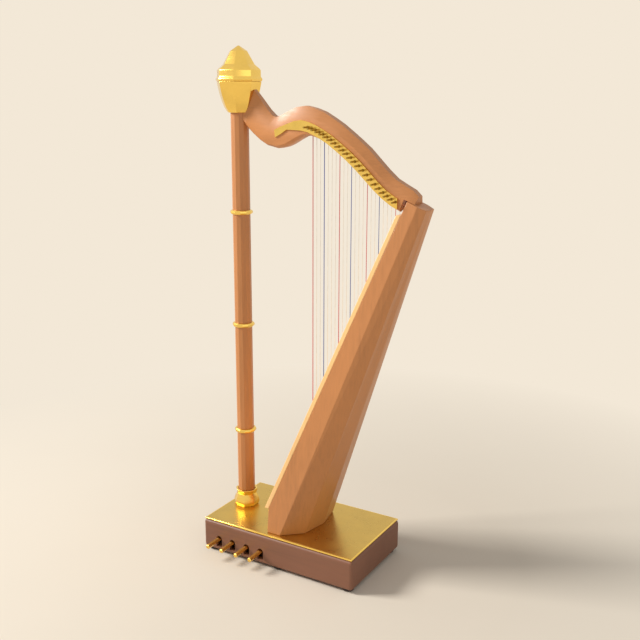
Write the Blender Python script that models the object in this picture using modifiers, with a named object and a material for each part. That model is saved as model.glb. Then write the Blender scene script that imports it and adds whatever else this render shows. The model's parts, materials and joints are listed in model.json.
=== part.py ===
"""Concert pedal harp, modelled in metres with +Z up.

A base box on six feet holds seven pedals. Their rods climb inside the hollow
pillar. The neck carries a brass action plate with one fork spindle for each
string, and the strings run down to a rib on the soundboard.
X runs from the pillar towards the player, and -Y is the player's left.
"""

import math

import bmesh
import bpy
from mathutils import Matrix, Vector

HARP = "pedal_harp"
CUTTERS = "pedal_harp_cutters"

# Clearance between pieces that touch, and the play around turning pieces
GAP = 0.0003
PLAY = 0.0003

# Base box, its brass top plate and its feet
BASE_LENGTH = 0.640
BASE_WIDTH = 0.372
BASE_WALL = 0.014
BASE_TOP_WALL = 0.014
BASE_EDGE_RADIUS = 0.010
FOOT_HEIGHT = 0.012
FOOT_RADIUS = 0.022
FOOT_INSET = 0.030
BASE_HEIGHT = 0.112
TOP_PLATE_THICKNESS = 0.008
TOP_PLATE_MARGIN = 0.0065
TOP_PLATE_BEVEL = 0.003
BOTTOM_BOARD_THICKNESS = 0.012

# Pillar with its collar at the foot and its three rings
PILLAR_X = -0.252
PILLAR_RADIUS = 0.0323
PILLAR_BORE = 0.0225
PILLAR_HEIGHT = 1.512
PILLAR_SIDES = 12
RING_RADIUS = 0.008
RING_HEIGHTS = (0.309, 0.725, 1.143)
COLLAR_PROFILE = (
    (0.0425, 0.064),
    (0.0425, 0.060),
    (0.0380, 0.046),
    (0.0490, 0.023),
    (0.0503, 0.013),
    (0.0457, 0.000),
)

# Capital cup and crown, as radius and height above the top plate
CAPITAL_SIDES = 8
CAPITAL_FLOOR = 1.492
CAPITAL_PROFILE = (
    (0.0800, 1.5970),
    (0.0786, 1.5880),
    (0.0748, 1.5700),
    (0.0705, 1.5520),
    (0.0640, 1.5320),
    (0.0560, 1.5120),
    (0.0430, CAPITAL_FLOOR),
)
CROWN_PROFILE = (
    (0.0310, 1.6995),
    (0.0569, 1.6545),
    (0.0740, 1.6405),
    (0.0783, 1.6350),
    (0.0783, 1.6140),
    (0.0837, 1.6060),
    (0.0837, 1.6030),
    (0.0805, 1.5975),
)
CROWN_TIP = 1.7195

# Neck stations: lower edge x and z, upper edge x and z, and half width
NECK_STATIONS = (
    (-0.243, 1.470, -0.212, 1.600, 0.018),
    (-0.213, 1.447, -0.183, 1.571, 0.020),
    (-0.183, 1.422, -0.154, 1.538, 0.024),
    (-0.152, 1.400, -0.125, 1.504, 0.028),
    (-0.120, 1.384, -0.103, 1.484, 0.031),
    (-0.077, 1.375, -0.088, 1.4785, 0.031),
    (-0.050, 1.381, -0.067, 1.487, 0.031),
    (-0.027, 1.391, -0.044, 1.498, 0.031),
    (0.000, 1.406, -0.008, 1.513, 0.031),
    (0.022, 1.417, 0.028, 1.518, 0.031),
    (0.046, 1.422, 0.062, 1.511, 0.031),
    (0.066, 1.418, 0.098, 1.499, 0.031),
    (0.092, 1.409, 0.133, 1.480, 0.031),
    (0.123, 1.392, 0.167, 1.460, 0.031),
    (0.157, 1.369, 0.201, 1.436, 0.031),
    (0.191, 1.344, 0.235, 1.411, 0.031),
    (0.225, 1.316, 0.269, 1.384, 0.031),
    (0.259, 1.285, 0.302, 1.352, 0.031),
    (0.293, 1.253, 0.336, 1.319, 0.031),
    (0.326, 1.226, 0.369, 1.291, 0.031),
    (0.359, 1.204, 0.401, 1.274, 0.031),
    (0.392, 1.188, 0.433, 1.258, 0.031),
    (0.432, 1.168, 0.452, 1.240, 0.031),
)
NECK_HALF_WIDTH = 0.031
NECK_TOP_SHARE = 0.45
NECK_UNDER_SHARE = 0.60
NECK_SHOULDER = 0.66
NECK_HIP = 0.08
CHANNEL_WIDTH = 0.013
CHANNEL_DEPTH_SHARE = 0.72
CHANNEL_MARGIN = 0.012

# Brass action plate: share of the neck's height at its two edges, by station
ACTION_PLATE_THICKNESS = 0.004
ACTION_PLATE_EDGES = (
    (5, 0.36, 0.60),
    (6, 0.41, 0.63),
    (7, 0.45, 0.61),
    (8, 0.30, 0.58),
    (9, 0.20, 0.54),
    (10, 0.12, 0.49),
    (11, 0.08, 0.47),
    (12, 0.06, 0.46),
)
ACTION_PLATE_SHARES = (0.06, 0.46)
ACTION_PLATE_END = 0.386

# Strings, their fork spindles and their tuning pins
STRING_COUNT = 23
STRING_FIRST_X = 0.050
STRING_PITCH = 0.015
STRING_RADIUS = 0.0008
STRING_SIDES = 6
FORK_SHARE = 0.30
TUNING_PIN_SHARE = 0.60
TUNING_PIN_RADIUS = 0.003
TUNING_PIN_PROUD = 0.013
SPINDLE_RADIUS = 0.0032
SPINDLE_PROUD = 0.027
SPINDLE_COLLAR_RADIUS = 0.0052
SPINDLE_COLLAR_LENGTH = 0.0015
FORK_DISC_RADIUS = 0.0052
FORK_DISC_LENGTH = 0.0016
PRONG_RADIUS = 0.0011
PRONG_OFFSET = 0.0036
PRONG_REACH = 0.0030

# Soundbox: heights above the top plate, half widths and the staves' lines
SOUNDBOX_FRONT_X = -0.0456
SOUNDBOX_FRONT_LEAN = 0.4126
SOUNDBOX_FOOT_HEIGHT = 0.090
SOUNDBOX_SIDE_X = (0.0087, 0.4595)
SOUNDBOX_BACK_X = (0.0780, 0.4910)
SOUNDBOX_RIDGE_X = (0.0970, 0.4930)
SOUNDBOX_HALF_WIDTH = (0.164, 0.042)
SOUNDBOX_BACK_HALF_WIDTH = (0.102, 0.031)
SOUNDBOX_HEIGHT = 1.2096
SOUNDBOX_TOP_SLOPE = -0.40
SOUNDBOX_WALL = 0.007
SOUNDBOX_FLOOR = 0.012
SOUNDBOX_HEAD = 0.040
SOUNDBOARD_THICKNESS = 0.017
SOUNDBOARD_TOP = 1.180
SOUNDBOARD_RIM = 0.018
SOUNDBOARD_PANEL = 0.008
RIB_WIDTH = 0.014
RIB_THICKNESS = 0.004
RIB_MARGIN = 0.030

# Pedals: slot places along the base, left row first, and the lever's sizes
LEFT_PEDALS = (("pedal_e", -0.251), ("pedal_f", -0.190), ("pedal_g", -0.126), ("pedal_a", -0.064))
RIGHT_PEDALS = (("pedal_d", -0.251), ("pedal_c", -0.190), ("pedal_b", -0.126))
PEDAL_DROP = 0.0745
PEDAL_RADIUS = 0.0085
PEDAL_REACH = 0.0715
PEDAL_SHANK = 0.032
PEDAL_BAR_RADIUS = 0.004
PEDAL_ARM_RADIUS = 0.00275
PEDAL_PIVOT_Y = 0.060
PEDAL_BEND_Y = 0.045
ARM_OVERHANG = 0.04
TRUNNION_RADIUS = 0.004
TRUNNION_LENGTH = 0.030
RAIL_WIDTH = 0.020
RAIL_RISE = 0.0105
RAIL_END = 0.024
RAIL_NOTCH = 0.012
SLOT_RADIUS = 0.013
SLOT_FOOT = 0.014

# Pedal rods on a circle inside the pillar
ROD_RADIUS = 0.0025
ROD_TIP_RADIUS = 0.0008
ROD_TIP_LENGTH = 0.004
ROD_CIRCLE = 0.016
ROD_HEADROOM = 0.017
LEFT_ROD_ANGLES = (-90.0, -60.0, -35.0, -10.0)
RIGHT_ROD_ANGLES = (90.0, 58.0, 30.0)

# Heights that follow from the stack of base pieces
PLATE_TOP = FOOT_HEIGHT + BASE_HEIGHT + TOP_PLATE_THICKNESS
BASE_TOP = FOOT_HEIGHT + BASE_HEIGHT - GAP
PEDAL_Z = PLATE_TOP - PEDAL_DROP


def clear_scene():
    """Remove every object and collection left in the scene."""
    for item in list(bpy.data.objects):
        bpy.data.objects.remove(item, do_unlink=True)
    for group in list(bpy.data.collections):
        bpy.data.collections.remove(group)


def make_collection(name):
    """Return a new collection linked to the scene."""
    group = bpy.data.collections.new(name)
    bpy.context.scene.collection.children.link(group)
    return group


def make_material(name, color, roughness, metallic):
    """Return a Principled material."""
    material = bpy.data.materials.new(name)
    material.use_nodes = True
    shader = material.node_tree.nodes["Principled BSDF"]
    shader.inputs["Base Color"].default_value = (*color, 1.0)
    shader.inputs["Roughness"].default_value = roughness
    shader.inputs["Metallic"].default_value = metallic
    material.diffuse_color = (*color, 1.0)
    return material


def add_mesh(name, vertices, faces, group, material=None):
    """Return a mesh object made of the given faces, turned outwards."""
    mesh = bpy.data.meshes.new(name)
    mesh.from_pydata([tuple(v) for v in vertices], [], faces)
    shape = bmesh.new()
    shape.from_mesh(mesh)
    bmesh.ops.recalc_face_normals(shape, faces=shape.faces)
    shape.to_mesh(mesh)
    shape.free()
    item = bpy.data.objects.new(name, mesh)
    group.objects.link(item)
    if material:
        mesh.materials.append(material)
    return item


def add_loft(name, rings, group, material=None):
    """Return a closed solid through rings of equal vertex count."""
    count = len(rings[0])
    vertices = [point for ring in rings for point in ring]
    faces = [tuple(range(count))]
    for level in range(len(rings) - 1):
        for corner in range(count):
            after = (corner + 1) % count
            low = level * count
            high = low + count
            faces.append((low + corner, low + after, high + after, high + corner))
    last = (len(rings) - 1) * count
    faces.append(tuple(range(last, last + count)))
    return add_mesh(name, vertices, faces, group, material)


def add_box(name, low, high, group, material=None):
    """Return a box from its lowest and highest corners, its scale applied."""
    bpy.ops.mesh.primitive_cube_add(size=1.0)
    item = bpy.context.object
    item.name = name
    size = Vector(high) - Vector(low)
    middle = (Vector(high) + Vector(low)) / 2
    item.data.transform(Matrix.Translation(middle) @ Matrix.Diagonal((*size, 1.0)))
    return take_over(item, group, material)


def add_cylinder(name, radius, start, end, sides, group, material=None, phase=0.0):
    """Return a cylinder from start to end, its first corner turned by phase."""
    axis = Vector(end) - Vector(start)
    bpy.ops.mesh.primitive_cylinder_add(radius=radius, depth=axis.length, vertices=sides)
    item = bpy.context.object
    item.name = name
    turn = axis.to_track_quat("Z", "Y").to_matrix().to_4x4()
    place = Matrix.Translation((Vector(start) + Vector(end)) / 2)
    item.data.transform(place @ turn @ Matrix.Rotation(phase, 4, "Z"))
    return take_over(item, group, material)


def take_over(item, group, material):
    """Move a new object into its collection and give it its material."""
    for old in list(item.users_collection):
        old.objects.unlink(item)
    group.objects.link(item)
    if material:
        item.data.materials.append(material)
    return item


def add_turned(name, profile, sides, group, material=None, closed=False, phase=0.0):
    """Return a turned solid: radius and height pairs from top to bottom."""
    vertices = [(radius, 0.0, height) for radius, height in profile]
    edges = [(index, index + 1) for index in range(len(vertices) - 1)]
    if closed:
        edges.append((len(vertices) - 1, 0))
    mesh = bpy.data.meshes.new(name)
    mesh.from_pydata(vertices, edges, [])
    item = bpy.data.objects.new(name, mesh)
    group.objects.link(item)
    item.rotation_euler.z = phase
    screw = item.modifiers.new("turn", "SCREW")
    screw.steps = sides
    screw.render_steps = sides
    screw.use_merge_vertices = True
    screw.merge_threshold = 0.00001
    screw.use_smooth_shade = False
    if material:
        mesh.materials.append(material)
    return item


def settle(item):
    """Replace an object's data by its evaluated mesh and drop its modifiers."""
    bpy.context.view_layer.update()
    graph = bpy.context.evaluated_depsgraph_get()
    mesh = bpy.data.meshes.new_from_object(item.evaluated_get(graph))
    shape = bmesh.new()
    shape.from_mesh(mesh)
    bmesh.ops.remove_doubles(shape, verts=shape.verts, dist=0.000005)
    bmesh.ops.recalc_face_normals(shape, faces=shape.faces)
    shape.to_mesh(mesh)
    shape.free()
    name = item.name
    group = item.users_collection[0]
    solid = bpy.data.objects.new(name + "_solid", mesh)
    solid.matrix_world = item.matrix_world
    group.objects.link(solid)
    bpy.data.objects.remove(item, do_unlink=True)
    solid.name = name
    return solid


def join_shapes(name, items, group):
    """Return one object that holds the meshes of several, still apart."""
    shape = bmesh.new()
    for item in items:
        copy = item.data.copy()
        copy.transform(item.matrix_world)
        shape.from_mesh(copy)
        bpy.data.meshes.remove(copy)
        bpy.data.objects.remove(item, do_unlink=True)
    mesh = bpy.data.meshes.new(name)
    shape.to_mesh(mesh)
    shape.free()
    joined = bpy.data.objects.new(name, mesh)
    group.objects.link(joined)
    return joined


def combine(item, other, operation):
    """Add an exact Boolean of another shape and hide that shape as a cutter."""
    other.hide_render = True
    other.display_type = "WIRE"
    boolean = item.modifiers.new(other.name, "BOOLEAN")
    boolean.operation = operation
    boolean.object = other
    boolean.solver = "EXACT"


def add_bevel(item, width, segments, angle=0.5):
    """Round the edges that are sharper than an angle."""
    bevel = item.modifiers.new("rounding", "BEVEL")
    bevel.width = width
    bevel.segments = segments
    bevel.limit_method = "ANGLE"
    bevel.angle_limit = angle


def smooth(item, angle=0.6):
    """Shade an object smooth apart from its sharp edges."""
    item.data.shade_smooth()
    item.data.set_sharp_from_angle(angle=angle)


def mix(pair, share):
    """Return the value between the two of a pair."""
    return pair[0] + (pair[1] - pair[0]) * share


def neck_point(station, share):
    """Return x and z on a station's line from the lower to the upper edge."""
    low_x, low_z, high_x, high_z, _ = station
    return mix((low_x, high_x), share), mix((low_z, high_z), share)


def neck_height(x, share):
    """Return z where the line at a share of the neck's height crosses x."""
    line = [neck_point(station, share) for station in NECK_STATIONS]
    for (x0, z0), (x1, z1) in zip(line, line[1:]):
        if x0 <= x <= x1:
            return z0 + (z1 - z0) * (x - x0) / (x1 - x0)
    raise ValueError("no neck at this place")


def soundbox_share(height):
    """Return how far up the soundbox a height above the top plate lies."""
    return height / SOUNDBOX_HEIGHT


def board_x(height):
    """Return x of the soundbox's front at a height above the top plate."""
    return SOUNDBOX_FRONT_X + SOUNDBOX_FRONT_LEAN * (height - SOUNDBOX_FOOT_HEIGHT)


def board_height(x):
    """Return the height where the soundboard's outer face crosses x."""
    front = SOUNDBOX_FRONT_X - SOUNDBOARD_THICKNESS
    return SOUNDBOX_FOOT_HEIGHT + (x - front) / SOUNDBOX_FRONT_LEAN


def string_places():
    """Return the x of each string, longest first."""
    return [STRING_FIRST_X + STRING_PITCH * index for index in range(STRING_COUNT)]


def rod_place(angle):
    """Return x and y of a pedal rod on its circle in the pillar."""
    turn = math.radians(angle)
    return PILLAR_X + ROD_CIRCLE * math.cos(turn), ROD_CIRCLE * math.sin(turn)


def slot_outline(x):
    """Return x and z around a pedal slot: straight sides under a half circle."""
    centre = PEDAL_Z
    foot = FOOT_HEIGHT + SLOT_FOOT
    outline = [(x - SLOT_RADIUS, foot), (x + SLOT_RADIUS, foot)]
    for step in range(9):
        turn = math.pi * step / 8
        outline.append((x + SLOT_RADIUS * math.cos(turn), centre + SLOT_RADIUS * math.sin(turn)))
    return outline


def build_base(parts, cutters, wood, brass, dark):
    """Base box with pedal slots, brass top plate, bottom board and feet."""
    half_x = BASE_LENGTH / 2
    half_y = BASE_WIDTH / 2
    box = add_box("base_box", (-half_x, -half_y, FOOT_HEIGHT), (half_x, half_y, BASE_TOP), parts, wood)
    add_bevel(box, BASE_EDGE_RADIUS, 3)
    hollow = add_box(
        "cut_base_hollow",
        (BASE_WALL - half_x, BASE_WALL - half_y, 0.0),
        (half_x - BASE_WALL, half_y - BASE_WALL, BASE_TOP - BASE_TOP_WALL),
        cutters,
    )
    combine(box, hollow, "DIFFERENCE")
    slots = []
    for row, side in ((LEFT_PEDALS, -1.0), (RIGHT_PEDALS, 1.0)):
        for name, x in row:
            near = side * (half_y - 2 * BASE_WALL)
            far = side * (half_y + BASE_WALL)
            rings = [[(px, y, pz) for px, pz in slot_outline(x)] for y in (near, far)]
            slots.append(add_loft("cut_slot_" + name, rings, cutters))
    combine(box, join_shapes("cut_slots", slots, cutters), "DIFFERENCE")
    well = add_cylinder(
        "cut_rod_well", PILLAR_BORE, (PILLAR_X, 0, BASE_TOP - 2 * BASE_TOP_WALL),
        (PILLAR_X, 0, PLATE_TOP + 0.02), 16, cutters,
    )
    combine(box, well, "DIFFERENCE")
    smooth(box)

    edge_x = half_x - TOP_PLATE_MARGIN
    edge_y = half_y - TOP_PLATE_MARGIN
    plate = add_box(
        "base_top_plate", (-edge_x, -edge_y, BASE_TOP + GAP), (edge_x, edge_y, PLATE_TOP), parts, brass,
    )
    add_bevel(plate, TOP_PLATE_BEVEL, 2)
    combine(plate, well, "DIFFERENCE")

    build_bottom_board(parts, cutters, dark)

    foot_x = half_x - FOOT_INSET
    foot_y = half_y - FOOT_INSET
    number = 0
    for y in (-foot_y, foot_y):
        for x in (-foot_x, 0.0, foot_x):
            number += 1
            profile = (
                (0.0, FOOT_HEIGHT - GAP),
                (FOOT_RADIUS, FOOT_HEIGHT - GAP),
                (FOOT_RADIUS, FOOT_HEIGHT * 0.4),
                (FOOT_RADIUS * 0.85, 0.0),
                (0.0, 0.0),
            )
            foot = add_turned("foot_%d" % number, profile, 12, parts, dark)
            foot.location = (x, y, 0.0)


def build_bottom_board(parts, cutters, material):
    """Bottom board with two pedal rails, notched and bored for the levers."""
    half_x = BASE_LENGTH / 2 - BASE_WALL - GAP
    half_y = BASE_WIDTH / 2 - BASE_WALL - GAP
    top = FOOT_HEIGHT + BOTTOM_BOARD_THICKNESS
    board = add_box("bottom_board", (-half_x, -half_y, FOOT_HEIGHT), (half_x, half_y, top), parts, material)
    for row, side in ((LEFT_PEDALS, -1.0), (RIGHT_PEDALS, 1.0)):
        label = "left" if side < 0 else "right"
        start = row[0][1] - RAIL_END
        end = row[-1][1] + RAIL_END
        y = side * PEDAL_PIVOT_Y
        rail = add_box(
            "join_rail_" + label,
            (start, y - RAIL_WIDTH / 2, FOOT_HEIGHT + BOTTOM_BOARD_THICKNESS / 2),
            (end, y + RAIL_WIDTH / 2, PEDAL_Z + RAIL_RISE),
            cutters,
        )
        combine(board, rail, "UNION")
    for row, side in ((LEFT_PEDALS, -1.0), (RIGHT_PEDALS, 1.0)):
        label = "left" if side < 0 else "right"
        y = side * PEDAL_PIVOT_Y
        notches = []
        for name, x in row:
            notches.append(add_box(
                "cut_notch_" + name,
                (x - RAIL_NOTCH / 2, y - RAIL_WIDTH, top + 0.001),
                (x + RAIL_NOTCH / 2, y + RAIL_WIDTH, PEDAL_Z + 2 * RAIL_RISE),
                cutters,
            ))
        combine(board, join_shapes("cut_notches_" + label, notches, cutters), "DIFFERENCE")
        bore = add_cylinder(
            "cut_rail_bore_" + label, TRUNNION_RADIUS + PLAY,
            (row[0][1] - 2 * RAIL_END, y, PEDAL_Z), (row[-1][1] + 2 * RAIL_END, y, PEDAL_Z), 12, cutters,
        )
        combine(board, bore, "DIFFERENCE")


def build_pedal(name, x, side, angle, parts, cutters, brass):
    """Pedal lever: round toe, bar over its trunnion, and arm under its rod."""
    rod_x, rod_y = rod_place(angle)
    outer = BASE_WIDTH / 2
    tip_y = side * (outer + PEDAL_REACH)
    shank_y = side * (outer - PEDAL_SHANK)
    pivot_y = side * PEDAL_PIVOT_Y
    path = (
        (x, tip_y, PEDAL_RADIUS * 0.72),
        (x, tip_y - side * 0.0025, PEDAL_RADIUS),
        (x, shank_y, PEDAL_RADIUS),
        (x, shank_y - side * 0.006, PEDAL_BAR_RADIUS),
        (x, side * PEDAL_BEND_Y, PEDAL_BAR_RADIUS),
        (rod_x, rod_y, PEDAL_ARM_RADIUS),
        (
            rod_x + (rod_x - x) * ARM_OVERHANG,
            rod_y + (rod_y - side * PEDAL_BEND_Y) * ARM_OVERHANG,
            PEDAL_ARM_RADIUS,
        ),
    )
    data = bpy.data.curves.new(name, "CURVE")
    data.dimensions = "3D"
    data.bevel_depth = 1.0
    data.bevel_resolution = 1
    data.use_fill_caps = True
    spline = data.splines.new("POLY")
    spline.points.add(len(path) - 1)
    for point, (px, py, radius) in zip(spline.points, path):
        point.co = (px, py - pivot_y, 0.0, 1.0)
        point.radius = radius
    lever = bpy.data.objects.new(name, data)
    parts.objects.link(lever)
    lever.location = (0.0, pivot_y, PEDAL_Z)
    lever = settle(lever)
    lever.data.materials.append(brass)
    trunnion = add_cylinder(
        "join_trunnion_" + name, TRUNNION_RADIUS, (x - TRUNNION_LENGTH / 2, pivot_y, PEDAL_Z),
        (x + TRUNNION_LENGTH / 2, pivot_y, PEDAL_Z), 12, cutters,
    )
    combine(lever, trunnion, "UNION")
    smooth(lever)
    return lever


def build_rod(name, angle, parts, brass):
    """Pedal rod from its lever's arm to just under the capital."""
    x, y = rod_place(angle)
    low = PEDAL_Z + PEDAL_ARM_RADIUS + GAP
    high = PLATE_TOP + PILLAR_HEIGHT - ROD_HEADROOM
    profile = (
        (0.0, high - low),
        (ROD_RADIUS, high - low),
        (ROD_RADIUS, ROD_TIP_LENGTH),
        (ROD_TIP_RADIUS, 0.0),
        (0.0, 0.0),
    )
    rod = add_turned(name, profile, 8, parts, brass)
    rod.location = (x, y, low)
    return rod


def build_pedals(parts, cutters, brass):
    """All pedals and the rods they lift."""
    rows = ((LEFT_PEDALS, LEFT_ROD_ANGLES, -1.0), (RIGHT_PEDALS, RIGHT_ROD_ANGLES, 1.0))
    for row, angles, side in rows:
        for (name, x), angle in zip(row, angles):
            build_pedal(name, x, side, angle, parts, cutters, brass)
            build_rod(name.replace("pedal", "pedal_rod"), angle, parts, brass)


def build_pillar(parts, cutters, wood, brass):
    """Hollow faceted pillar, its flared collar and its three rings."""
    low = PLATE_TOP + GAP
    high = PLATE_TOP + PILLAR_HEIGHT
    profile = ((PILLAR_RADIUS, high), (PILLAR_RADIUS, low), (PILLAR_BORE, low), (PILLAR_BORE, high))
    pillar = add_turned("pillar", profile, PILLAR_SIDES, parts, wood, closed=True)
    pillar.location = (PILLAR_X, 0.0, 0.0)

    inner = (PILLAR_RADIUS + GAP) / math.cos(math.pi / CAPITAL_SIDES)
    profile = [(radius, PLATE_TOP + GAP + height) for radius, height in COLLAR_PROFILE]
    profile += [(inner, PLATE_TOP + GAP), (inner, PLATE_TOP + GAP + COLLAR_PROFILE[0][1])]
    collar = add_turned(
        "pillar_collar", profile, CAPITAL_SIDES, parts, brass, closed=True, phase=math.pi / CAPITAL_SIDES,
    )
    collar.location = (PILLAR_X, 0.0, 0.0)

    inner = PILLAR_RADIUS + GAP / math.cos(math.pi / PILLAR_SIDES)
    for number, height in enumerate(RING_HEIGHTS, 1):
        centre = PLATE_TOP + height
        profile = [(inner, centre + RING_RADIUS)]
        for step in range(7):
            turn = math.pi / 2 - math.pi * step / 6
            profile.append((
                inner + 0.0008 + RING_RADIUS * math.cos(turn),
                centre + RING_RADIUS * math.sin(turn),
            ))
        profile.append((inner, centre - RING_RADIUS))
        ring = add_turned("pillar_ring_%d" % number, profile, PILLAR_SIDES, parts, brass, closed=True)
        ring.location = (PILLAR_X, 0.0, 0.0)
        smooth(ring)


def build_capital(parts, cutters, brass):
    """Eight-sided cup over the pillar's top, and the crown that closes it."""
    phase = math.pi / CAPITAL_SIDES
    profile = [(0.0, PLATE_TOP + CAPITAL_PROFILE[0][1])]
    profile += [(radius, PLATE_TOP + height) for radius, height in CAPITAL_PROFILE]
    profile.append((0.0, PLATE_TOP + CAPITAL_FLOOR))
    cup = add_turned("capital", profile, CAPITAL_SIDES, parts, brass, phase=phase)
    cup.location = (PILLAR_X, 0.0, 0.0)
    socket = add_cylinder(
        "cut_capital_socket", PILLAR_RADIUS + GAP / math.cos(math.pi / PILLAR_SIDES),
        (PILLAR_X, 0.0, PLATE_TOP + CAPITAL_FLOOR - 0.05), (PILLAR_X, 0.0, PLATE_TOP + PILLAR_HEIGHT + GAP),
        PILLAR_SIDES, cutters,
    )
    combine(cup, socket, "DIFFERENCE")

    profile = [(0.0, PLATE_TOP + CROWN_TIP)]
    profile += [(radius, PLATE_TOP + height) for radius, height in CROWN_PROFILE]
    profile.append((0.0, PLATE_TOP + CROWN_PROFILE[-1][1]))
    crown = add_turned("crown", profile, CAPITAL_SIDES, parts, brass, phase=phase)
    crown.location = (PILLAR_X, 0.0, 0.0)


def neck_ring(station):
    """Return the eight corners of the neck's section at a station."""
    half = station[4]
    corners = (
        (-half * NECK_UNDER_SHARE, 0.0), (-half, NECK_HIP), (-half, NECK_SHOULDER),
        (-half * NECK_TOP_SHARE, 1.0), (half * NECK_TOP_SHARE, 1.0), (half, NECK_SHOULDER),
        (half, NECK_HIP), (half * NECK_UNDER_SHARE, 0.0),
    )
    ring = []
    for y, share in corners:
        x, z = neck_point(station, share)
        ring.append((x, y, PLATE_TOP + z))
    return ring


def channel_ring(station):
    """Return the four corners of the string channel's section at a station."""
    half = CHANNEL_WIDTH / 2
    ring = []
    for y, share in ((-half, -0.3), (half, -0.3), (half, CHANNEL_DEPTH_SHARE), (-half, CHANNEL_DEPTH_SHARE)):
        x, z = neck_point(station, share)
        ring.append((x, y, PLATE_TOP + z))
    return ring


def channel_stations():
    """Return the stations that span all strings and a margin on both sides."""
    places = string_places()
    first = places[0] - CHANNEL_MARGIN
    last = places[-1] + CHANNEL_MARGIN
    before = [s for s in NECK_STATIONS if neck_point(s, CHANNEL_DEPTH_SHARE)[0] <= first]
    after = [s for s in NECK_STATIONS if neck_point(s, 0.0)[0] >= last]
    start = NECK_STATIONS.index(before[-1])
    stop = NECK_STATIONS.index(after[0])
    return NECK_STATIONS[start:stop + 1]


def build_neck(parts, cutters, wood):
    """Curved neck, coped round capital and pillar, with its string channel."""
    neck = add_loft("neck", [neck_ring(station) for station in NECK_STATIONS], parts, wood)

    profile = [(0.0, PLATE_TOP + CROWN_TIP)]
    profile += [(radius + GAP * 1.4, PLATE_TOP + height) for radius, height in CAPITAL_PROFILE]
    profile.append((0.0, PLATE_TOP + CAPITAL_FLOOR - GAP))
    cup = add_turned("cut_neck_capital", profile, CAPITAL_SIDES, cutters, phase=math.pi / CAPITAL_SIDES)
    cup.location = (PILLAR_X, 0.0, 0.0)
    cup = settle(cup)
    combine(neck, cup, "DIFFERENCE")
    post = add_cylinder(
        "cut_neck_pillar", PILLAR_RADIUS + GAP * 1.2, (PILLAR_X, 0.0, PLATE_TOP + 1.2),
        (PILLAR_X, 0.0, PLATE_TOP + CAPITAL_FLOOR + 0.01), PILLAR_SIDES, cutters,
    )
    combine(neck, post, "DIFFERENCE")
    seat = add_loft("cut_neck_seat", soundbox_rings(GAP, SOUNDBOARD_THICKNESS), cutters)
    combine(neck, seat, "DIFFERENCE")

    channel = add_loft("cut_neck_channel", [channel_ring(s) for s in channel_stations()], cutters)
    combine(neck, channel, "DIFFERENCE")
    combine(neck, spindle_holes(cutters), "DIFFERENCE")
    combine(neck, tuning_pins(cutters), "UNION")
    return neck


def spindle_holes(cutters):
    """Return the cutter for the bores of all fork spindles."""
    bores = []
    for index, x in enumerate(string_places()):
        z = PLATE_TOP + neck_height(x, FORK_SHARE)
        bores.append(add_cylinder(
            "cut_spindle_%d" % index, SPINDLE_RADIUS + PLAY, (x, -NECK_HALF_WIDTH * 2, z), (x, 0.0, z),
            10, cutters,
        ))
    return join_shapes("cut_spindle_bores", bores, cutters)


def tuning_pins(cutters):
    """Return the shape of all tuning pins, across the channel and out behind."""
    pins = []
    for index, x in enumerate(string_places()):
        z = PLATE_TOP + neck_height(x, TUNING_PIN_SHARE)
        start = (x, -CHANNEL_WIDTH / 2 - 0.003, z)
        end = (x, NECK_HALF_WIDTH + TUNING_PIN_PROUD, z)
        pins.append(add_cylinder("join_tuning_pin_%d" % index, TUNING_PIN_RADIUS, start, end, 8, cutters))
    return join_shapes("join_tuning_pins", pins, cutters)


def plate_outline():
    """Return x and z around the action plate, upper edge first."""
    upper = []
    lower = []
    edges = {index: (low, high) for index, low, high in ACTION_PLATE_EDGES}
    for index in range(ACTION_PLATE_EDGES[0][0], len(NECK_STATIONS)):
        low, high = edges.get(index, ACTION_PLATE_SHARES)
        upper.append(neck_point(NECK_STATIONS[index], high))
        lower.append(neck_point(NECK_STATIONS[index], low))
    upper = trim_line(upper, ACTION_PLATE_END)
    lower = trim_line(lower, ACTION_PLATE_END)
    return upper + lower[::-1]


def trim_line(line, limit):
    """Return a line of points cut off where it crosses x equal to the limit."""
    kept = [line[0]]
    for (x0, z0), (x1, z1) in zip(line, line[1:]):
        if x1 >= limit:
            kept.append((limit, z0 + (z1 - z0) * (limit - x0) / (x1 - x0)))
            break
        kept.append((x1, z1))
    return kept


def build_action_plate(parts, cutters, brass):
    """Brass plate on the neck's left face, bored for the fork spindles."""
    outline = plate_outline()
    data = bpy.data.curves.new("action_plate", "CURVE")
    data.dimensions = "2D"
    data.fill_mode = "BOTH"
    data.extrude = ACTION_PLATE_THICKNESS / 2
    spline = data.splines.new("POLY")
    spline.points.add(len(outline) - 1)
    for point, (x, z) in zip(spline.points, outline):
        point.co = (x, z, 0.0, 1.0)
    spline.use_cyclic_u = True
    plate = bpy.data.objects.new("action_plate", data)
    parts.objects.link(plate)
    plate.rotation_euler.x = math.pi / 2
    plate.location = (0.0, -NECK_HALF_WIDTH - GAP - ACTION_PLATE_THICKNESS / 2, PLATE_TOP)
    bpy.context.view_layer.update()
    plate = settle(plate)
    plate.data.materials.append(brass)
    combine(plate, bpy.data.objects["cut_spindle_bores"], "DIFFERENCE")
    return plate


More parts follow.
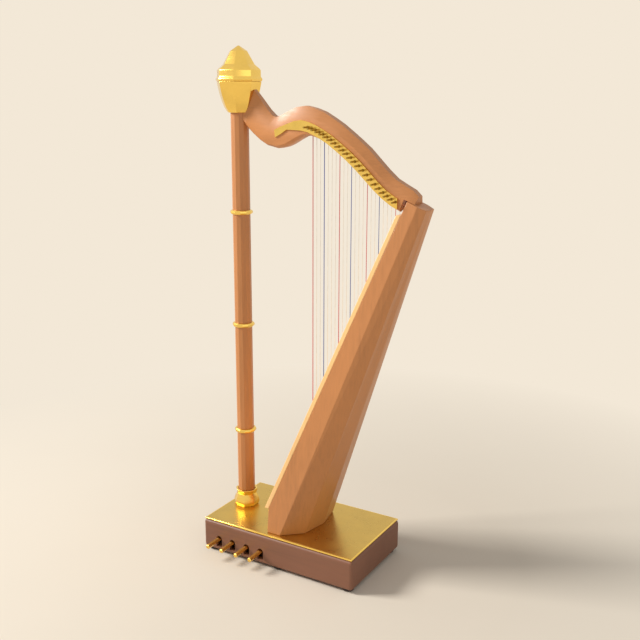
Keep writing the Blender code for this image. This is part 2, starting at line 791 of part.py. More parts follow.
def fork_mesh(parts, cutters, brass):
    """Return the mesh of one fork spindle about its own axis along Y."""
    face = -NECK_HALF_WIDTH - GAP - ACTION_PLATE_THICKNESS
    inner = -CHANNEL_WIDTH / 2 + GAP
    disc_end = inner + FORK_DISC_LENGTH
    spindle = add_cylinder(
        "fork_model", SPINDLE_RADIUS, (0, face - SPINDLE_PROUD, 0), (0, inner + 0.0005, 0), 10, parts,
    )
    collar = add_cylinder(
        "join_fork_collar", SPINDLE_COLLAR_RADIUS, (0, face - GAP - SPINDLE_COLLAR_LENGTH, 0),
        (0, face - GAP, 0), 10, cutters,
    )
    disc = add_cylinder("join_fork_disc", FORK_DISC_RADIUS, (0, inner, 0), (0, disc_end, 0), 10, cutters)
    prongs = [
        add_cylinder(
            "join_fork_prong", PRONG_RADIUS, (x, disc_end - 0.0005, 0), (x, PRONG_REACH, 0), 6, cutters,
        )
        for x in (-PRONG_OFFSET, PRONG_OFFSET)
    ]
    pair = join_shapes("join_fork_prongs", prongs, cutters)
    for shape in (collar, disc, pair):
        combine(spindle, shape, "UNION")
    spindle = settle(spindle)
    mesh = spindle.data
    mesh.materials.append(brass)
    for shape in (spindle, collar, disc, pair):
        bpy.data.objects.remove(shape, do_unlink=True)
    return mesh


def build_forks(parts, cutters, brass):
    """One fork spindle for each string, all sharing a mesh."""
    mesh = fork_mesh(parts, cutters, brass)
    for index, x in enumerate(string_places(), 1):
        fork = bpy.data.objects.new("fork_%02d" % index, mesh)
        fork.location = (x, 0.0, PLATE_TOP + neck_height(x, FORK_SHARE))
        parts.objects.link(fork)


def stave_ring(height, top=False, gap=0.0, board=0.0):
    """Return the seven corners of the soundbox at a height or on its top plane."""
    lines = (
        (SOUNDBOX_SIDE_X, SOUNDBOX_HALF_WIDTH),
        (SOUNDBOX_BACK_X, SOUNDBOX_BACK_HALF_WIDTH),
        (SOUNDBOX_RIDGE_X, (0.0, 0.0)),
    )
    corners = []
    level = height
    if top:
        plane = SOUNDBOX_HEIGHT - SOUNDBOX_TOP_SLOPE * SOUNDBOX_SIDE_X[1] + height
        front = board_x(0.0) - board - gap
        lean = SOUNDBOX_FRONT_LEAN
        level = (plane + SOUNDBOX_TOP_SLOPE * front) / (1 - SOUNDBOX_TOP_SLOPE * lean)
    front_height = max(level, SOUNDBOX_FOOT_HEIGHT)
    half = mix(SOUNDBOX_HALF_WIDTH, soundbox_share(level)) + gap
    corners.append((board_x(front_height) - board - gap, half, level))
    for (x0, x1), widths in lines:
        slope = (x1 - x0) / SOUNDBOX_HEIGHT
        if top:
            level = (plane + SOUNDBOX_TOP_SLOPE * x0) / (1 - SOUNDBOX_TOP_SLOPE * slope)
        half = mix(widths, soundbox_share(level))
        corners.append((x0 + slope * level + gap, half + gap if half else 0.0, level))
    ring = [(x, -y, PLATE_TOP + z) for x, y, z in corners]
    ring += [(x, y, PLATE_TOP + z) for x, y, z in corners[-2::-1]]
    return ring


def soundbox_rings(gap, board):
    """Return the soundbox's rings from its foot to its slanting top."""
    return [
        stave_ring(GAP, gap=gap, board=board),
        stave_ring(SOUNDBOX_FOOT_HEIGHT, gap=gap, board=board),
        stave_ring(gap, top=True, gap=gap, board=board),
    ]


def inner_ring(height):
    """Return the seven corners of the soundbox's hollow at a height."""
    wall = SOUNDBOX_WALL
    ring = []
    for x, y, z in stave_ring(height):
        share = soundbox_share(height)
        centre_x = mix((0.025, 0.450), share)
        dx = x - centre_x
        length = math.hypot(dx, y)
        if length > 0:
            x -= dx / length * wall * 1.3
            y -= y / length * wall * 1.3
        ring.append((x, y, z))
    return ring


def build_soundbox(parts, cutters, wood):
    """Staved soundbox: a shell open at the front, where the board lies."""
    box = add_loft("soundbox", soundbox_rings(0.0, 0.0), parts, wood)
    top = SOUNDBOX_HEIGHT - SOUNDBOX_HEAD
    rings = [inner_ring(SOUNDBOX_FLOOR), inner_ring(SOUNDBOX_FOOT_HEIGHT + 0.02), inner_ring(top - 0.03)]
    hollow = add_loft("cut_soundbox_hollow", rings, cutters)
    combine(box, hollow, "DIFFERENCE")
    rings = []
    for height in (SOUNDBOX_FOOT_HEIGHT + 0.025, top - 0.035):
        half = mix(SOUNDBOX_HALF_WIDTH, soundbox_share(height)) - SOUNDBOX_WALL * 1.6
        x = board_x(height)
        z = PLATE_TOP + height
        rings.append([(x - 0.03, -half, z), (x + 0.03, -half, z), (x + 0.03, half, z), (x - 0.03, half, z)])
    mouth = add_loft("cut_soundbox_mouth", rings, cutters)
    combine(box, mouth, "DIFFERENCE")
    return box


def board_ring(height, front, back, inset):
    """Return the four corners of a slab along the soundboard at a height."""
    half = mix(SOUNDBOX_HALF_WIDTH, soundbox_share(height)) - inset
    x = board_x(height)
    z = PLATE_TOP + height
    return [(x - front, -half, z), (x - back, -half, z), (x - back, half, z), (x - front, half, z)]


def build_soundboard(parts, cutters, spruce):
    """Tapered board with a thick rim and a thin panel."""
    low = SOUNDBOX_FOOT_HEIGHT + GAP
    rings = [board_ring(height, SOUNDBOARD_THICKNESS, GAP, 0.0) for height in (low, SOUNDBOARD_TOP)]
    board = add_loft("soundboard", rings, parts, spruce)
    depth = SOUNDBOARD_THICKNESS - SOUNDBOARD_PANEL
    rings = [
        board_ring(height, depth, -0.01, SOUNDBOARD_RIM)
        for height in (low + 2 * SOUNDBOARD_RIM, SOUNDBOARD_TOP - 2 * SOUNDBOARD_RIM)
    ]
    combine(board, add_loft("cut_soundboard_back", rings, cutters), "DIFFERENCE")
    return board


def build_strings(parts, cutters, gut, maple):
    """All strings, rooted in the maple rib that runs up the soundboard."""
    places = string_places()
    rings = []
    low = board_height(places[0]) - RIB_MARGIN
    high = SOUNDBOARD_TOP - 0.002
    for height in (low, high):
        x = board_x(height) - SOUNDBOARD_THICKNESS
        half = RIB_WIDTH / 2
        z = PLATE_TOP + height
        front = x - RIB_THICKNESS - GAP
        rings.append([(front, -half, z), (x - GAP, -half, z), (x - GAP, half, z), (front, half, z)])
    rib = add_loft("strings_and_rib", rings, parts, maple)
    wires = []
    for index, x in enumerate(places):
        foot = PLATE_TOP + board_height(x) + RIB_THICKNESS * 0.6
        head = PLATE_TOP + neck_height(x, TUNING_PIN_SHARE) - TUNING_PIN_RADIUS - GAP
        wires.append(add_cylinder(
            "join_string_%d" % index, STRING_RADIUS, (x, 0.0, foot), (x, 0.0, head), STRING_SIDES, cutters,
        ))
    combine(rib, join_shapes("join_strings", wires, cutters), "UNION")
    return rib


def harp_middle():
    """Return x midway between the harp's two ends."""
    widest = max(radius for radius, _ in CROWN_PROFILE)
    crown_end = PILLAR_X - widest * math.cos(math.pi / CAPITAL_SIDES)
    left = min(crown_end, -BASE_LENGTH / 2)
    right = max(BASE_LENGTH / 2, max(point[0] for point in stave_ring(0.0, top=True)))
    return (left + right) / 2


def centre_frame(groups):
    """Shift every object so that the harp's box is centred on the origin."""
    middle = harp_middle()
    for group in groups:
        for item in group.objects:
            item.location.x -= middle


def main():
    """Build the harp."""
    clear_scene()
    parts = make_collection(HARP)
    cutters = make_collection(CUTTERS)
    wood = make_material("harp_wood", (0.62, 0.27, 0.11), 0.35, 0.0)
    dark = make_material("base_wood", (0.22, 0.10, 0.06), 0.45, 0.0)
    spruce = make_material("spruce", (0.86, 0.62, 0.32), 0.4, 0.0)
    maple = make_material("maple", (0.75, 0.52, 0.28), 0.4, 0.0)
    gut = make_material("gut", (0.85, 0.78, 0.62), 0.4, 0.0)
    brass = make_material("gilt_brass", (0.85, 0.55, 0.13), 0.2, 1.0)

    build_base(parts, cutters, dark, brass, dark)
    build_pillar(parts, cutters, wood, brass)
    build_capital(parts, cutters, brass)
    build_neck(parts, cutters, wood)
    build_action_plate(parts, cutters, brass)
    build_forks(parts, cutters, brass)
    build_soundbox(parts, cutters, wood)
    build_soundboard(parts, cutters, spruce)
    build_strings(parts, cutters, gut, maple)
    build_pedals(parts, cutters, brass)
    centre_frame((parts, cutters))


main()
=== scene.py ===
"""Concert pedal harp: the finish of every surface and the studio it stands in.

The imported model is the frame. Wood, gilt brass and gut get procedural
materials, the faceted pieces get rounded edges, and the strings, their rib
and the bead round the top plate are modelled anew.
"""

import json
import math

import bmesh
import bpy
import numpy as np
from mathutils import Matrix, Vector


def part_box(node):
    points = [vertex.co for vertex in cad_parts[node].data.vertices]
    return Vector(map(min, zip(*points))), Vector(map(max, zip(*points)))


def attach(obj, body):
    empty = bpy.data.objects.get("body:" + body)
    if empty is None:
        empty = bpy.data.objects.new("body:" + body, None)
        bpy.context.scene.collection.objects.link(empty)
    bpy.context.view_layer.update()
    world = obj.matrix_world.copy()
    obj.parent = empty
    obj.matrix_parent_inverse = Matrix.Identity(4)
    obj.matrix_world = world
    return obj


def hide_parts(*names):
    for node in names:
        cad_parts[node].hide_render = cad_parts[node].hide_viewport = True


bl_info = {
    "name": "Pedal Harp Finish",
    "version": (1, 0, 0),
    "blender": (4, 5, 0),
    "location": "3D Viewport > Sidebar > Harp",
    "description": "Finishes a pedal harp and sets up its studio",
    "category": "Object",
}

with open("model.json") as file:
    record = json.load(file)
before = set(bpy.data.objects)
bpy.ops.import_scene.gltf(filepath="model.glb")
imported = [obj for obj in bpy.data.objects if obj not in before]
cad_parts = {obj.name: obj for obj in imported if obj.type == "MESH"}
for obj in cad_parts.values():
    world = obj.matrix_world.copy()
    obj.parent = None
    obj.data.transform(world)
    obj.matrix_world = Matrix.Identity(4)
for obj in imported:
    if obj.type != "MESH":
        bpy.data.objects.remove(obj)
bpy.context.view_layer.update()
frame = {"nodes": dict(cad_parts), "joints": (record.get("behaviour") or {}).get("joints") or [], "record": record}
NODES = frame["nodes"]

# Camera of the photograph: place in metres, angles in degrees, lens and sensor in millimetres
CAMERA_PLACE = (1.5524, -2.6127, 1.6911)
CAMERA_AZIMUTH = 30.73
CAMERA_ELEVATION = 14.323
CAMERA_ROLL = 0.1554
CAMERA_LENS = 50.0
CAMERA_SENSOR = 36.0

# Lamps: where each square lamp stands, what it points at and how wide it is
KEY_PLACE = (-6.4, -3.4, 5.4)
KEY_AIM = (0.0, 0.0, 0.7)
KEY_SIZE = 2.4
FILL_PLACE = (3.2, -1.2, 2.2)
FILL_AIM = (0.0, 0.0, 0.8)
FILL_SIZE = 2.5
LAMP_COLOR = (1.0, 0.98, 0.95)

# The world as brass and lacquer mirror it
REFLECTED_WORLD = 0.85
REFLECTED_COLOR = (1.0, 0.97, 0.92)

# Floor: half its width, the distance over which it fades into the backdrop, and
# the start and end of that fade as shares of the distance
FLOOR_SIZE = 14.0
FLOOR_FADE = 3.0
FADE_SPAN = (0.25, 0.8)

# Part of a noise texture's range that holds nearly all its values
NOISE_SPAN = (0.3, 0.7)

# How wood is stretched along its fibres, and the shares of its three noises
FIBRES_ALONG = {"X": (0.06, 1.0, 1.0), "Z": (1.0, 1.0, 0.06)}
FIBRE_SHARE = 0.45
BAND_SHARE = 0.35
CLOUD_SHARE = 0.2

# Colours that the settings don't hold. C strings are dyed red and F strings
# blue, and d stands for the clear gut of all the others
STRING_COLORS = {"c": (0.62, 0.02, 0.03), "f": (0.02, 0.06, 0.36), "d": (0.88, 0.80, 0.66)}
DYED_NOTES = "cf"
RIB_COLOR = (0.80, 0.52, 0.24)
FELT_COLOR = (0.05, 0.035, 0.03)

# Edge radius of each rounded piece
ROUNDED = {
    "pillar": 0.0012,
    "pillar_collar": 0.0012,
    "capital": 0.0016,
    "crown": 0.0016,
    "soundbox": 0.0025,
    "soundboard": 0.0020,
}
ROUNDING_STEPS = 3

# Angles in radians above which an edge stays sharp
FACET_CREASE = 0.35
NECK_CREASE = 0.6
STRING_CREASE = 0.7
BEAD_CREASE = 0.9

# Copies: points closer than MERGE become one, and faces within FLAT radians one face
MERGE = 0.00002
FLAT = 0.01

# Strings: the notes from the longest string on, the rings and sides of a string,
# and how near its axis the frame's points of the same string lie
NOTES = "cdefgab"
STRING_RINGS = 5
STRING_SIDES = 8
STRING_REACH = 0.002

# Rib: its points lie further from the strings' plane than RIB_CLEAR, those of one
# end within END_REACH in height, and its outline has RIB_STEPS points
RIB_CLEAR = 0.005
END_REACH = 0.001
RIB_STEPS = 13
RIB_ROUNDNESS = 0.7

# Bead round the top plate: radius as a share of the plate's thickness, how far
# its centre lies inside the plate's edge, and the sides of its round section
BEAD_SHARE = 0.46
BEAD_INSET = 0.0005
BEAD_SIDES = 12


class HarpFinish(bpy.types.PropertyGroup):
    """Colours and sizes of the harp's finish."""

    wood_color: bpy.props.FloatVectorProperty(
        name="Wood colour", description="Lacquered maple",
        subtype="COLOR", size=3, default=(0.53, 0.212, 0.066), min=0.0, max=1.0,
    )
    base_color: bpy.props.FloatVectorProperty(
        name="Base colour", description="Dark stained wood",
        subtype="COLOR", size=3, default=(0.22, 0.090, 0.048), min=0.0, max=1.0,
    )
    board_color: bpy.props.FloatVectorProperty(
        name="Board colour", description="Lacquered spruce",
        subtype="COLOR", size=3, default=(0.95, 0.58, 0.24), min=0.0, max=1.0,
    )
    brass_color: bpy.props.FloatVectorProperty(
        name="Brass colour", description="Gilt brass",
        subtype="COLOR", size=3, default=(0.94, 0.62, 0.14), min=0.0, max=1.0,
    )
    string_thickest: bpy.props.FloatProperty(
        name="Thickest string", description="Radius of the longest string",
        default=0.0009, min=0.0002, max=0.002, unit="LENGTH",
    )
    string_thinnest: bpy.props.FloatProperty(
        name="Thinnest string", description="Radius of the shortest string",
        default=0.0006, min=0.0002, max=0.002, unit="LENGTH",
    )
    dyed_factor: bpy.props.FloatProperty(
        name="Dyed strings", description="How much thicker the dyed strings are",
        default=1.6, min=1.0, max=3.0,
    )


class StudioSettings(bpy.types.PropertyGroup):
    """Floor colour and light strengths."""

    floor_color: bpy.props.FloatVectorProperty(
        name="Floor colour", description="Cream floor and backdrop",
        subtype="COLOR", size=3, default=(0.896, 0.807, 0.679), min=0.0, max=1.0,
    )
    key_power: bpy.props.FloatProperty(
        name="Key light", description="Power of the key light",
        default=830.0, min=0.0, max=5000.0, unit="POWER",
    )
    fill_power: bpy.props.FloatProperty(
        name="Fill light", description="Power of the fill light",
        default=12.0, min=0.0, max=5000.0, unit="POWER",
    )
    world_strength: bpy.props.FloatProperty(
        name="World light", description="Strength of the world's light",
        default=0.42, min=0.0, max=5.0,
    )


class Socket:
    """A shader output that takes part in sums and products."""

    def __init__(self, shading, output):
        self.shading = shading
        self.output = output

    def math(self, operation, other):
        """Return a Math node's output over this and another value."""
        return self.shading.node("ShaderNodeMath", {0: self, 1: other}, operation=operation)

    def __add__(self, other):
        return self.math("ADD", other)

    def __mul__(self, other):
        return self.math("MULTIPLY", other)

    __radd__ = __add__
    __rmul__ = __mul__

    def ramp(self, stops):
        """Return the colour of a ramp over this value, from places and their colours."""
        return self.shading.node("ShaderNodeValToRGB", {0: self}, stops=stops)

    def spread(self, span, values):
        """Return this value moved from a span to a range of values, clamped to it."""
        return self.shading.node("ShaderNodeMapRange", {
            "Value": self, "From Min": span[0], "From Max": span[1],
            "To Min": values[0], "To Max": values[1],
        })


class Shading:
    """A node tree whose nodes all come from one method."""

    def __init__(self, tree):
        self.tree = tree

    def node(self, kind, sockets, output=0, stops=None, **settings):
        """Add a node, make its settings, feed its sockets and return one of its outputs."""
        made = self.tree.nodes.new(kind)
        for name, value in settings.items():
            setattr(made, name, value)
        if stops:
            elements = made.color_ramp.elements
            while len(elements) < len(stops):
                elements.new(0.5)
            for element, (place, color) in zip(elements, stops.items()):
                element.position = place
                element.color = (*color, 1.0)
        for name, value in sockets.items():
            self.feed(made.inputs[name], value)
        return Socket(self, made.outputs[output])

    def feed(self, socket, value):
        """Link an output to a node's input, or set the input to a constant."""
        if isinstance(value, Socket):
            self.tree.links.new(value.output, socket)
        else:
            socket.default_value = value

    def place(self, scale=(1.0, 1.0, 1.0)):
        """Return object coordinates, scaled along each axis."""
        coordinates = self.node("ShaderNodeTexCoord", {}, "Object")
        return self.node("ShaderNodeMapping", {"Vector": coordinates, "Scale": scale})

    def noise(self, vector, scale, detail, roughness=0.5, distortion=0.0):
        """Return a noise texture's value."""
        return self.node("ShaderNodeTexNoise", {
            "Vector": vector, "Scale": scale, "Detail": detail,
            "Roughness": roughness, "Distortion": distortion,
        })

    def bump(self, height, strength, distance):
        """Return a normal that follows a height, with its full distance in metres."""
        return self.node("ShaderNodeBump", {
            "Height": height, "Strength": strength, "Distance": distance,
        })

    def background(self, color, strength):
        """Return a plain light of one colour."""
        return self.node("ShaderNodeBackground", {"Color": (*color, 1.0), "Strength": strength})

    def mix(self, factor, first, second):
        """Return a blend of two shaders: the first at factor 0, the second at 1."""
        return self.node("ShaderNodeMixShader", {0: factor, 1: first, 2: second})


class Material(Shading):
    """A material with one Principled shader."""

    def __init__(self, name):
        self.material = bpy.data.materials.new(name)
        self.material.use_nodes = True
        super().__init__(self.material.node_tree)
        self.shader = self.tree.nodes["Principled BSDF"]

    def set(self, **values):
        """Feed the shader's own sockets, with _ for a space in their names."""
        for name, value in values.items():
            self.feed(self.shader.inputs[name.replace("_", " ")], value)


def tinted(color, factor):
    """Return a colour made lighter or darker."""
    return tuple(min(1.0, channel * factor) for channel in color)


def wood_material(name, color, along, gloss, contrast):
    """Lacquered wood whose colour follows fibres, broad bands and soft clouds.

    The fibres run along the named axis. Gloss is the lowest roughness, and
    contrast says how much darker than the colour the darkest wood is.
    """
    made = Material(name)
    stretch = FIBRES_ALONG[along]
    broad = tuple(0.6 * part + 0.02 for part in stretch)
    fibres = made.noise(made.place(stretch), scale=130.0, detail=5.0, roughness=0.6, distortion=0.25)
    bands = made.noise(made.place(broad), scale=16.0, detail=2.0, distortion=0.6)
    clouds = made.noise(made.place(), scale=3.0, detail=1.0)
    pattern = FIBRE_SHARE * fibres + BAND_SHARE * bands + CLOUD_SHARE * clouds
    made.set(
        Base_Color=pattern.ramp({
            0.34: tinted(color, 1.0 - contrast),
            0.50: color,
            0.66: tinted(color, 1.0 + 0.6 * contrast),
        }),
        Roughness=fibres.spread(NOISE_SPAN, (gloss, gloss + 0.12)),
        Normal=made.bump(fibres, strength=0.12, distance=0.0003),
        Coat_Weight=0.12,
        Coat_Roughness=0.25,
    )
    return made.material


def brass_material(name, color, roughness):
    """Gilt brass with faint tarnish and hairline polish marks."""
    made = Material(name)
    tarnish = made.noise(made.place(), scale=14.0, detail=4.0, roughness=0.6)
    marks = made.noise(made.place((1.0, 1.0, 8.0)), scale=90.0, detail=2.0)
    wear = 0.5 * tarnish + 0.5 * marks
    made.set(
        Base_Color=tarnish.ramp({
            0.30: tinted(color, 0.93),
            0.50: color,
            0.70: tinted(color, 1.05),
        }),
        Roughness=wear.spread(NOISE_SPAN, (roughness - 0.06, roughness + 0.08)),
        Normal=made.bump(marks, strength=0.05, distance=0.0001),
        Metallic=1.0,
    )
    return made.material


def gut_material(name, color):
    """Gut with faint unevenness along the string."""
    made = Material(name)
    spots = made.noise(made.place((1.0, 1.0, 0.3)), scale=240.0, detail=2.0)
    made.set(
        Base_Color=spots.ramp({0.3: tinted(color, 0.85), 0.7: color}),
        Roughness=spots.spread(NOISE_SPAN, (0.25, 0.4)),
    )
    return made.material


def felt_material(name, color):
    """Dark felt with a fine nap."""
    made = Material(name)
    nap = made.noise(made.place(), scale=900.0, detail=3.0)
    made.set(
        Base_Color=nap.ramp({0.3: tinted(color, 0.7), 0.7: tinted(color, 1.3)}),
        Roughness=0.9,
        Normal=made.bump(nap, strength=0.3, distance=0.0004),
    )
    return made.material


def paper_material(name, color):
    """Studio paper that fades into a glow of its own colour away from the harp."""
    made = Material(name)
    mottle = made.noise(made.place(), scale=2.0, detail=2.0)
    made.set(
        Base_Color=mottle.ramp({0.3: tinted(color, 0.835), 0.7: tinted(color, 0.85)}),
        Roughness=0.95,
        Specular_IOR_Level=0.1,
    )
    glow = made.node("ShaderNodeEmission", {"Color": (*color, 1.0)})
    place = made.place((1.0 / FLOOR_FADE, 1.0 / FLOOR_FADE, 0.0))
    distance = made.node("ShaderNodeVectorMath", {0: place}, "Value", operation="LENGTH")
    paper = Socket(made, made.shader.outputs[0])
    blend = made.mix(distance.spread(FADE_SPAN, (0.0, 1.0)), paper, glow)
    made.feed(made.tree.nodes["Material Output"].inputs["Surface"], blend)
    return made.material


def paint(item, material):
    """Give an object one material."""
    item.data.materials.clear()
    item.data.materials.append(material)


def add_item(name, data):
    """Return a new object in the scene."""
    item = bpy.data.objects.new(name, data)
    bpy.context.scene.collection.objects.link(item)
    return item


def node_body(node):
    """Return the name of the body that a CAD node belongs to."""
    for body, names in frame["record"]["behaviour"]["bodies"].items():
        if node in names:
            return body
    raise ValueError("no body holds " + node)


def node_points(node):
    """Return the points of a CAD node in world metres, one in each row."""
    source = NODES[node]
    points = np.empty(3 * len(source.data.vertices), dtype=np.float32)
    source.data.vertices.foreach_get("co", points)
    matrix = np.array(source.matrix_world)
    return points.reshape(-1, 3).astype(float) @ matrix[:3, :3].T + matrix[:3, 3]


def copy_node(node, radius, material, crease=FACET_CREASE):
    """Stand a merged copy with rounded edges in for a CAD node."""
    source = NODES[node]
    shape = bmesh.new()
    shape.from_mesh(source.data)
    shape.transform(source.matrix_world)
    bmesh.ops.remove_doubles(shape, verts=shape.verts, dist=MERGE)
    bmesh.ops.dissolve_limit(shape, angle_limit=FLAT, verts=shape.verts, edges=shape.edges)
    mesh = bpy.data.meshes.new(node + "_finish")
    shape.to_mesh(mesh)
    shape.free()
    piece = add_item(node + "_finish", mesh)
    if radius:
        bevel = piece.modifiers.new("rounding", "BEVEL")
        bevel.width = radius
        bevel.segments = ROUNDING_STEPS
        bevel.limit_method = "ANGLE"
        bevel.angle_limit = crease
    mesh.shade_smooth()
    mesh.set_sharp_from_angle(angle=crease)
    paint(piece, material)
    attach(piece, node_body(node))
    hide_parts(node)


def add_surface(name, rings, crease, material, body, endless=False):
    """Closed surface through rings of points.

    Face (i, j) joins the points j and j + 1 of the rings i and i + 1, counted
    round. An endless surface goes on from its last ring to its first, and any
    other has a flat face at each end.
    """
    count, sides, _ = rings.shape
    near = np.arange(count if endless else count - 1)[:, None]
    far = (near + 1) % count
    side = np.arange(sides)
    after = (side + 1) % sides
    corners = (near * sides + side, near * sides + after, far * sides + after, far * sides + side)
    faces = np.stack(corners, axis=-1).reshape(-1, 4).tolist()
    if not endless:
        faces.append(range(sides))
        faces.append(range((count - 1) * sides, count * sides))
    mesh = bpy.data.meshes.new(name)
    mesh.from_pydata(rings.reshape(-1, 3).tolist(), [], faces)
    shape = bmesh.new()
    shape.from_mesh(mesh)
    bmesh.ops.recalc_face_normals(shape, faces=shape.faces)
    shape.to_mesh(mesh)
    shape.free()
    mesh.shade_smooth()
    mesh.set_sharp_from_angle(angle=crease)
    piece = add_item(name, mesh)
    paint(piece, material)
    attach(piece, body)
    return piece


def string_rings(x, bottom, top, radius):
    """Return the rings of an upright string in the plane y = 0.

    With t once round, each ring is (x - radius cos t, -radius sin t, z), and
    z goes from the bottom to the top in even steps.
    """
    turn = np.linspace(0.0, 2 * math.pi, STRING_SIDES, endpoint=False)
    height = (bottom + (top - bottom) * np.linspace(0.0, 1.0, STRING_RINGS))[:, None]
    ring = (x - radius * np.cos(turn), -radius * np.sin(turn), height)
    return np.stack(np.broadcast_arrays(*ring), axis=-1)


def rib_rings(points, foot, head):
    """Return the outlines of the string rib's two ends.

    With t from 0 to pi, an outline is (back - depth (sin t) ** roundness,
    half cos t, z). Back and z are the end's own. Depth, and half of the
    width, are those of the foot.
    """
    turn = np.linspace(0.0, math.pi, RIB_STEPS)
    ends = [points[np.abs(points[:, 2] - end[2]) < END_REACH] for end in (foot, head)]
    back = np.array([end[:, 0].max() for end in ends])[:, None]
    out = np.ptp(ends[0][:, 0]) * np.sin(turn) ** RIB_ROUNDNESS
    across = abs(foot[1]) * np.cos(turn)
    height = np.array((foot[2], head[2]))[:, None]
    return np.stack(np.broadcast_arrays(back - out, across, height), axis=-1)


def bead_rings(low, high):
    """Return the rings of the bead at the four corners of the top plate.

    With t once round, a ring is corner + radius (outward cos t + up sin t).
    Outward is (1, 1, 0) with the corner's signs, so that each side of the bead
    is round and the corners are mitred.
    """
    outward = np.array(((1, 1, 0), (-1, 1, 0), (-1, -1, 0), (1, -1, 0)))
    corners = np.where(outward > 0, high - BEAD_INSET, low + BEAD_INSET)
    corners[:, 2] = (low[2] + high[2]) / 2
    radius = (high[2] - low[2]) * BEAD_SHARE
    turn = np.linspace(0.0, 2 * math.pi, BEAD_SIDES, endpoint=False)[:, None]
    section = np.cos(turn) * outward[:, None] + np.sin(turn) * np.array((0.0, 0.0, 1.0))
    return corners[:, None] + radius * section


def fork_places():
    """Return a point on the axis of each fork spindle, from the longest string on."""
    places = {
        joint["name"]: Vector(joint["pos_m"])
        for joint in frame["joints"] if joint["name"].startswith("fork_")
    }
    return [places["fork_%02d_turn" % number] for number in range(1, len(places) + 1)]


class HARP_OT_wood(bpy.types.Operator):
    """Finish the pillar, neck, soundbox, soundboard, base and feet"""

    bl_idname = "harp.wood"
    bl_label = "Finish wood"

    def execute(self, context):
        finish = context.scene.harp_finish
        wood = tuple(finish.wood_color)
        upright = wood_material("lacquered_maple_upright", wood, "Z", gloss=0.42, contrast=0.16)
        level = wood_material("lacquered_maple_level", wood, "X", gloss=0.42, contrast=0.16)
        base = wood_material("stained_base", tuple(finish.base_color), "X", gloss=0.5, contrast=0.18)
        board = wood_material("lacquered_spruce", tuple(finish.board_color), "Z", gloss=0.3, contrast=0.12)
        copy_node("pillar", ROUNDED["pillar"], upright)
        copy_node("soundbox", ROUNDED["soundbox"], upright)
        copy_node("soundboard", ROUNDED["soundboard"], board)
        copy_node("neck", 0.0, level, NECK_CREASE)
        for name in ("base_box", "bottom_board"):
            paint(NODES[name], base)
        felt = felt_material("foot_felt", FELT_COLOR)
        for name, item in NODES.items():
            if name.startswith("foot_"):
                paint(item, felt)
        return {"FINISHED"}


class HARP_OT_brass(bpy.types.Operator):
    """Finish the plates, pedals, rings, collar, capital, crown and forks"""

    bl_idname = "harp.brass"
    bl_label = "Finish brass"

    def execute(self, context):
        color = tuple(context.scene.harp_finish.brass_color)
        bright = brass_material("gilt_brass", color, roughness=0.20)
        satin = brass_material("satin_brass", tinted(color, 0.72), roughness=0.30)
        # Painted shade: the forks get brass darkened to 0.42 of the colour, standing in for the shadow on the
        # pins' undersides
        fork_shade_brass = brass_material("painted_shade_brass", tinted(color, 0.42), roughness=0.35)
        # Painted highlight: the bead's brass is lighter than the pedals' and far lighter than the top plate's,
        # standing in for the bright bevel along the plate's edge
        edge = brass_material("bead_highlight_brass", tinted(color, 1.06), roughness=0.24)
        for name in ("pillar_collar", "capital", "crown"):
            copy_node(name, ROUNDED[name], bright)
        low, high = (np.array(Vector(corner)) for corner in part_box("base_top_plate"))
        # the bead takes the lighter brass, a painted highlight
        add_surface(
            "top_plate_bead", bead_rings(low, high), BEAD_CREASE, edge,
            node_body("base_top_plate"), endless=True,
        )
        for name, item in NODES.items():
            if name.startswith(("pillar_ring", "pedal_")) or name == "action_plate":
                paint(item, bright)
            elif name.startswith("fork_"):
                # painted shade: the forks take the darkened brass
                paint(item, fork_shade_brass)
            elif name == "base_top_plate":
                paint(item, satin)
        return {"FINISHED"}


class HARP_OT_strings(bpy.types.Operator):
    """String the harp, red for C, blue for F and clear gut for the others"""

    bl_idname = "harp.strings"
    bl_label = "Add strings"

    def execute(self, context):
        finish = context.scene.harp_finish
        gut = {note: gut_material("gut_" + note, color) for note, color in STRING_COLORS.items()}
        maple = wood_material("rib_maple", RIB_COLOR, "Z", gloss=0.3, contrast=0.15)
        points = node_points("strings_and_rib")
        off_plane = np.abs(points[:, 1])
        rib_points = points[off_plane > RIB_CLEAR]
        foot = rib_points[rib_points[:, 2].argmin()]
        head = rib_points[rib_points[:, 2].argmax()]
        outlines = rib_rings(rib_points, foot, head)
        rib = add_surface("string_rib_finish", outlines, STRING_CREASE, maple, "frame")
        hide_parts("strings_and_rib")
        slope = (head[0] - foot[0]) / (head[2] - foot[2])
        places = fork_places()
        for index, place in enumerate(places):
            near = (np.abs(points[:, 0] - place.x) < STRING_REACH) & (off_plane < STRING_REACH)
            top = points[near, 2].max()
            bottom = foot[2] + max(place.x - foot[0], 0.0) / slope
            share = index / (len(places) - 1)
            radius = finish.string_thickest + share * (finish.string_thinnest - finish.string_thickest)
            note = NOTES[index % len(NOTES)]
            if note in DYED_NOTES:
                radius *= finish.dyed_factor
            rings = string_rings(place.x, bottom, top, radius)
            finished = gut.get(note, gut["d"])
            add_surface("string_%02d" % (index + 1), rings, STRING_CREASE, finished, "frame")
        return {"FINISHED"}


class HARP_OT_studio(bpy.types.Operator):
    """Set the floor, the lights and the camera"""

    bl_idname = "harp.studio"
    bl_label = "Set the studio"

    def execute(self, context):
        settings = context.scene.harp_studio
        add_floor(tuple(settings.floor_color))
        add_area("key_light", KEY_PLACE, KEY_AIM, KEY_SIZE, settings.key_power)
        add_area("fill_light", FILL_PLACE, FILL_AIM, FILL_SIZE, settings.fill_power)
        add_world(tuple(settings.floor_color), settings.world_strength)
        add_camera()
        context.scene.view_settings.view_transform = "Standard"
        return {"FINISHED"}


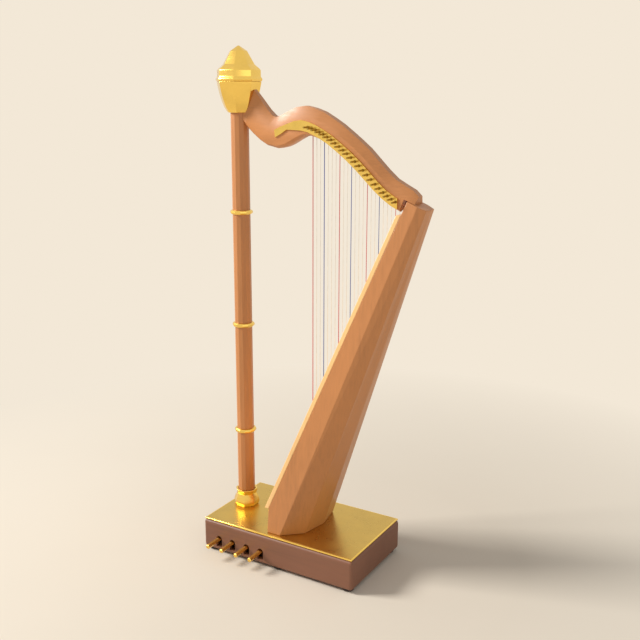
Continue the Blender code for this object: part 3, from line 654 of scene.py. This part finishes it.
def add_floor(color):
    """Paper floor that takes shadows near the harp and fades into the backdrop."""
    size = FLOOR_SIZE
    mesh = bpy.data.meshes.new("studio_floor")
    corners = [(-size, -size, 0), (size, -size, 0), (size, size, 0), (-size, size, 0)]
    mesh.from_pydata(corners, [], [(0, 1, 2, 3)])
    floor = add_item("studio_floor", mesh)
    paint(floor, paper_material("studio_paper", color))


def add_area(name, place, aim, size, power):
    """Square area light at a place, turned towards an aim."""
    light = bpy.data.lights.new(name, "AREA")
    light.size = size
    light.energy = power
    light.color = LAMP_COLOR
    item = add_item(name, light)
    item.location = place
    item.rotation_euler = (Vector(aim) - Vector(place)).to_track_quat("-Z", "Y").to_euler()


def add_world(color, strength):
    """White light all round, the floor's colour to the camera, brighter in reflections."""
    world = bpy.data.worlds.new("studio_world")
    world.use_nodes = True
    nodes = world.node_tree.nodes
    nodes.remove(nodes["Background"])
    shading = Shading(world.node_tree)
    is_glossy = shading.node("ShaderNodeLightPath", {}, "Is Glossy Ray")
    is_camera = shading.node("ShaderNodeLightPath", {}, "Is Camera Ray")
    lit = shading.background(LAMP_COLOR, strength)
    mirrored = shading.background(REFLECTED_COLOR, REFLECTED_WORLD)
    seen = shading.background(color, 1.0)
    blend = shading.mix(is_camera, shading.mix(is_glossy, lit, mirrored), seen)
    shading.feed(nodes["World Output"].inputs["Surface"], blend)
    bpy.context.scene.world = world


def add_camera():
    """Camera at the photograph's place and angle."""
    azimuth = math.radians(CAMERA_AZIMUTH)
    elevation = math.radians(CAMERA_ELEVATION)
    back = Vector((
        math.sin(azimuth) * math.cos(elevation),
        -math.cos(azimuth) * math.cos(elevation),
        math.sin(elevation),
    ))
    right = Vector((0.0, 0.0, 1.0)).cross(back).normalized()
    up = back.cross(right)
    turn = Matrix((right, up, back)).transposed().to_4x4()
    roll = Matrix.Rotation(math.radians(CAMERA_ROLL), 4, "Z")
    lens = bpy.data.cameras.new("photo_camera")
    lens.lens = CAMERA_LENS
    lens.sensor_width = CAMERA_SENSOR
    camera = add_item("photo_camera", lens)
    camera.matrix_world = Matrix.Translation(CAMERA_PLACE) @ turn @ roll
    bpy.context.scene.camera = camera


class HARP_PT_panel(bpy.types.Panel):
    """Settings and buttons of the harp's finish"""

    bl_idname = "HARP_PT_panel"
    bl_label = "Pedal harp"
    bl_space_type = "VIEW_3D"
    bl_region_type = "UI"
    bl_category = "Harp"

    def draw(self, context):
        for group in (context.scene.harp_finish, context.scene.harp_studio):
            for name in group.__annotations__:
                self.layout.prop(group, name)
        for operator in OPERATORS:
            self.layout.operator(operator.bl_idname)


GROUPS = (HarpFinish, StudioSettings)
OPERATORS = (HARP_OT_wood, HARP_OT_brass, HARP_OT_strings, HARP_OT_studio)


def register():
    """Register the settings, operators and panel."""
    for item in GROUPS + OPERATORS + (HARP_PT_panel,):
        bpy.utils.register_class(item)
    bpy.types.Scene.harp_finish = bpy.props.PointerProperty(type=HarpFinish)
    bpy.types.Scene.harp_studio = bpy.props.PointerProperty(type=StudioSettings)


def unregister():
    """Remove the settings, operators and panel."""
    del bpy.types.Scene.harp_finish
    del bpy.types.Scene.harp_studio
    for item in reversed(GROUPS + OPERATORS + (HARP_PT_panel,)):
        bpy.utils.unregister_class(item)


def main():
    """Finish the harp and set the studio."""
    register()
    bpy.ops.harp.wood()
    bpy.ops.harp.brass()
    bpy.ops.harp.strings()
    bpy.ops.harp.studio()


if __name__ == "__main__":
    main()
